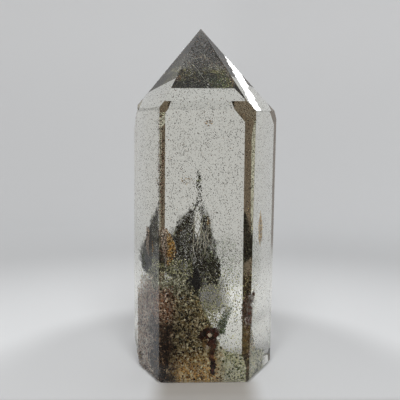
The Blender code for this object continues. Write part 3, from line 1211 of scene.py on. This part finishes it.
# %% Sweep
FLOOR_RINGS = 12
FLOOR_STEP = 0.03
FLOOR_RADIUS = 0.34
CURVE_RADIUS = 0.22
CURVE_STEPS = 16
WALL_TOP = 0.62
FLOOR_DROP = 0.00004
SWEEP_STEPS = 96
SWEEP_MERGE = 0.00002


def sweep_profile():
    """Radius and height from the middle of the floor, round the curve, to the top of the wall."""
    points = [(FLOOR_STEP * i, 0.0) for i in range(FLOOR_RINGS)]
    for i in range(CURVE_STEPS + 1):
        a = math.radians(90) * i / CURVE_STEPS
        points.append(
            (FLOOR_RADIUS + CURVE_RADIUS * math.sin(a), CURVE_RADIUS * (1 - math.cos(a)))
        )
    points.append((FLOOR_RADIUS + CURVE_RADIUS, WALL_TOP))
    return points


def sweep():
    bm = bmesh.new()
    for radius, height in sweep_profile():
        bm.verts.new((radius, 0, height - FLOOR_DROP))
    bm.verts.ensure_lookup_table()
    for a, b in zip(bm.verts[:-1], bm.verts[1:]):
        bm.edges.new((a, b))
    bmesh.ops.spin(
        bm, geom=bm.verts[:] + bm.edges[:], cent=(0, 0, 0), axis=(0, 0, 1),
        angle=math.tau, steps=SWEEP_STEPS, use_duplicate=False,
    )
    bmesh.ops.remove_doubles(bm, verts=bm.verts, dist=SWEEP_MERGE)
    bmesh.ops.recalc_face_normals(bm, faces=bm.faces)
    if max(bm.faces, key=lambda f: -f.calc_center_median().length).normal.z < 0:
        bmesh.ops.reverse_faces(bm, faces=bm.faces)
    for face in bm.faces:
        face.smooth = True
    return bm


# Sweep colours and glows: the dim colour, the dark under the crystal and the warm shadow are
# painted shade, and the glows are painted light
PALE = (0.6, 0.61, 0.62)
DIM = (0.15, 0.12, 0.095)
UNDER_SHADE = (0.03, 0.028, 0.026)
WARM_SHADOW = (0.24, 0.21, 0.17)
BASE_FRONT = 0.012
BASE_SIDE = 0.0145
FLOOR_GLOW = 0.07
WALL_GLOW = 0.3
POOL_GLOW = 0.26
BEHIND_GLOW = 0.42
SHADOW_TINT = 0.7
SHADOW_DIM = 0.4
SHADE_BEHIND = 0.72
DIM_LEFT = (math.radians(-60), math.radians(-48))
DIM_RIGHT = (math.radians(78), math.radians(112))


def sweep_finish():
    """Pale, glowing, painted dim camera-side; painted shade under and behind the crystal."""
    material, g, shader = finish_named("studio_sweep")
    point = g.add("ShaderNodeTexCoord", None, None, "Object")
    across, away, height = (g.part(point, axis) for axis in "XYZ")
    aside, off = abs(across), abs(away)
    length = (across * across + away * away + 1e-6) ** 0.5
    azimuth = g.add("ShaderNodeMath", {"operation": "ARCTAN2"}, {0: across, 1: away})
    light_side = azimuth.steps(*DIM_LEFT) * (1.0 - azimuth.steps(*DIM_RIGHT))

    # The crystal's outline on the floor: 1 at its sides, more outside
    slant = (aside * 0.866 + off * 0.5) / BASE_SIDE
    hexagon = g.add("ShaderNodeMath", {"operation": "MAXIMUM"}, {0: off / BASE_FRONT, 1: slant})

    # Colours: pale, painted dim on the camera's side, and a painted warm shadow before the base
    colour = g.mix(length.steps(0.16, 0.26) * (1.0 - light_side), PALE, DIM)
    colour = g.mix(away.steps(-0.019, -0.027), colour, DIM)
    contact_shadow = hexagon.steps(2.6, 1.4) * away.steps(-0.008, -0.0125) * aside.steps(0.014, 0.008)
    colour = g.mix(contact_shadow * SHADOW_TINT, colour, WARM_SHADOW)

    # Painted shade under the crystal, and where the point's facets look at the floor behind it
    shade = aside.steps(0.0115, 0.0045) * away.steps(0.05, 0.066) * away.steps(0.14, 0.1)
    unshaded_floor = hexagon.steps(0.86, 0.98) * (1.0 - SHADE_BEHIND * shade)
    colour = g.mix(unshaded_floor, UNDER_SHADE, colour)

    # Painted glow: on the floor behind, most of all right behind the crystal, and more up the wall
    pool = length.steps(0.042, 0.062) * length.steps(0.2, 0.07) * away.steps(-0.02, 0.02)
    behind = aside.steps(0.024, 0.014) * away.steps(0.014, 0.024) * away.steps(0.11, 0.08)
    level = length.steps(0.05, 0.35, FLOOR_GLOW, WALL_GLOW) + POOL_GLOW * pool
    level = level + BEHIND_GLOW * behind - across.steps(0.0, 0.08, 0.0, 0.04)
    tilt = azimuth.steps(-0.7, 0.7, -0.03, 0.05) * length.steps(0.15, 0.45) * light_side
    level = level + height.steps(0.05, 0.3, 0.0, 0.07) + tilt
    level = level * unshaded_floor * (1.0 - SHADOW_DIM * contact_shadow)
    glow = g.add("ShaderNodeVectorMath", {"operation": "SCALE"}, {0: colour, "Scale": level})
    plug(
        g, shader,
        Base_Color=colour,
        Roughness=0.9,
        Specular_IOR_Level=0.1,
        Emission_Color=glow,
        Emission_Strength=1.0,
    )
    return material


backdrop = to_object("studio_sweep", sweep(), sweep_finish())
print("sweep reaches", FLOOR_RADIUS + CURVE_RADIUS, "m out")

# %% [markdown]
# The light is soft: a wide panel overhead and one above the camera. A narrow strip, high behind on
# the right, is mirrored as the white wedge on the right face of the point. Its place follows from
# that wedge by the law of reflection, and it slants as the wedge's edge does.

# %% Lights
def panel(name, place, target, width, depth, power, turn=0.0):
    data = bpy.data.lights.new(name, "AREA")
    data.shape = "RECTANGLE"
    data.size = width
    data.size_y = depth
    data.energy = power
    lamp = linked(name, data)
    aim = (Vector(target) - Vector(place)).to_track_quat("-Z", "Y").to_matrix().to_4x4()
    lamp.matrix_world = Matrix.Translation(place) @ aim @ Matrix.Rotation(turn, 4, "Z")
    lamp.visible_camera = False


def toward(azimuth, elevation, distance, start):
    """A point seen from start: azimuth 0 is straight behind the crystal, to the right is plus."""
    a, e = math.radians(azimuth), math.radians(elevation)
    way = Vector((math.sin(a) * math.cos(e), math.cos(a) * math.cos(e), math.sin(e)))
    return Vector(start) + way * distance


POINT_FACE = Vector((6.0, -6.0, 74.0)) * MM
MIDDLE = Vector((0.0, 0.0, 0.03))
LAMP_DISTANCE = 0.5
ROOM_LIGHT = (0.96, 0.98, 1.0, 1.0)
ROOM_STRENGTH = 0.15
panel("overhead", (0.0, 0.05, 0.75), (0.0, 0.0, 0.0), width=0.6, depth=0.6, power=0.5)
panel(
    "fill", toward(180, 42, LAMP_DISTANCE, MIDDLE), MIDDLE,
    width=0.36, depth=0.24, power=2.6,
)
panel(
    "strip", toward(29.1, 28.85, LAMP_DISTANCE, POINT_FACE), POINT_FACE,
    width=0.12, depth=0.007, power=0.016, turn=math.radians(39),
)

world = bpy.data.worlds.new("room")
bpy.context.scene.world = world
world.use_nodes = True
background = world.node_tree.nodes["Background"]
background.inputs["Color"].default_value = ROOM_LIGHT
background.inputs["Strength"].default_value = ROOM_STRENGTH
print("lamps:", [lamp.name for lamp in bpy.data.lights])

# %% [markdown]
# Light crosses many facets before it leaves a crystal, so the renderer is allowed many bounces.
# The plain tone curve keeps the greys of the studio as they are set. The noise filter takes its
# guide pictures as they are: smoothed ones would smear the fine grains into streaks.

# %% Light paths and tones
scene = bpy.context.scene
scene.cycles.max_bounces = 24
scene.cycles.transmission_bounces = 24
scene.cycles.glossy_bounces = 12
scene.cycles.diffuse_bounces = 4
scene.cycles.transparent_max_bounces = 48
scene.cycles.sample_clamp_indirect = 4.0
scene.cycles.denoising_prefilter = "NONE"
scene.view_settings.view_transform = "Standard"
scene.view_settings.look = "None"
